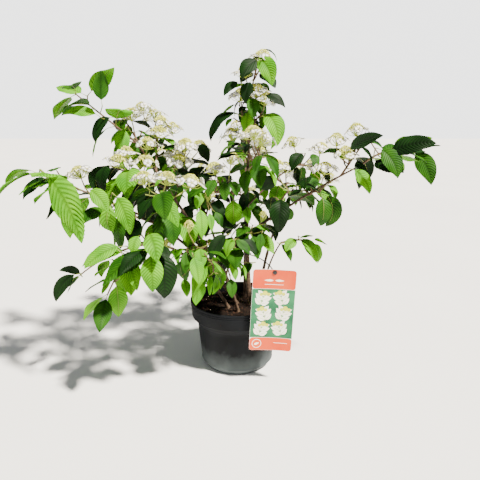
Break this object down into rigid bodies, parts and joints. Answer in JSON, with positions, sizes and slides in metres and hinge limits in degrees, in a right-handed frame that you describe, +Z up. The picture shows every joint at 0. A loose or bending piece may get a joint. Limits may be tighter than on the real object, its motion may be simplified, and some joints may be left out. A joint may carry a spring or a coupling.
{
  "type": "potted japanese snowball shrub in flower",
  "caption": "Flowering Japanese snowball shrub in a round nursery pot: spreading boughs, drooping pleated leaves, flat white flower heads and a plain hanging card.",
  "frame": {"origin": "middle of the pot's flat underside", "axes": "+Z up; the pictured side faces -Y, with +X to its right"},
  "size_m": [0.7398, 0.4737, 0.6076],
  "materials": {
    "pot_plastic": "moulded, matt anthracite",
    "compost": "moist, crumbly, dark brown",
    "card": "coated card, satin",
    "tie_plastic": "moulded, black",
    "bark": "smooth young bark with pale pores",
    "foliage": "fresh pleated leaves and white flower heads"
  },
  "bodies": {
    "root": {"pot": "pot_plastic", "compost": "compost", "care_card": "card", "card_tie": "tie_plastic", "main_stem": "bark", "right_bough": "bark", "right_side_bough": "bark", "right_low_bough": "bark", "left_low_bough": "bark", "left_mid_bough": "bark", "left_high_bough": "bark", "back_left_bough": "bark", "back_bough": "bark", "back_right_bough": "bark", "front_bough": "bark", "crown_top_spray": "foliage", "crown_right_spray": "foliage", "crown_left_spray": "foliage", "crown_front_spray": "foliage", "crown_back_spray": "foliage", "crown_low_spray": "foliage", "crown_foot_spray": "foliage", "right_side_spray": "foliage", "right_back_spray": "foliage", "right_inner_spray": "foliage", "right_middle_spray": "foliage", "right_upper_spray": "foliage", "right_tip_spray": "foliage", "right_low_spray": "foliage", "left_high_tip_spray": "foliage", "left_high_side_spray": "foliage", "left_high_upper_spray": "foliage", "left_high_inner_spray": "foliage", "left_high_front_spray": "foliage", "left_mid_tip_spray": "foliage", "left_mid_spray": "foliage", "left_mid_inner_spray": "foliage", "left_mid_centre_spray": "foliage", "left_low_tip_spray": "foliage", "left_far_spray": "foliage", "left_low_spray": "foliage", "left_low_inner_spray": "foliage", "front_tip_spray": "foliage", "front_spray": "foliage", "back_left_spray": "foliage", "back_left_inner_spray": "foliage", "back_spray": "foliage", "back_low_spray": "foliage", "back_right_spray": "foliage"}
  },
  "joints": []
}
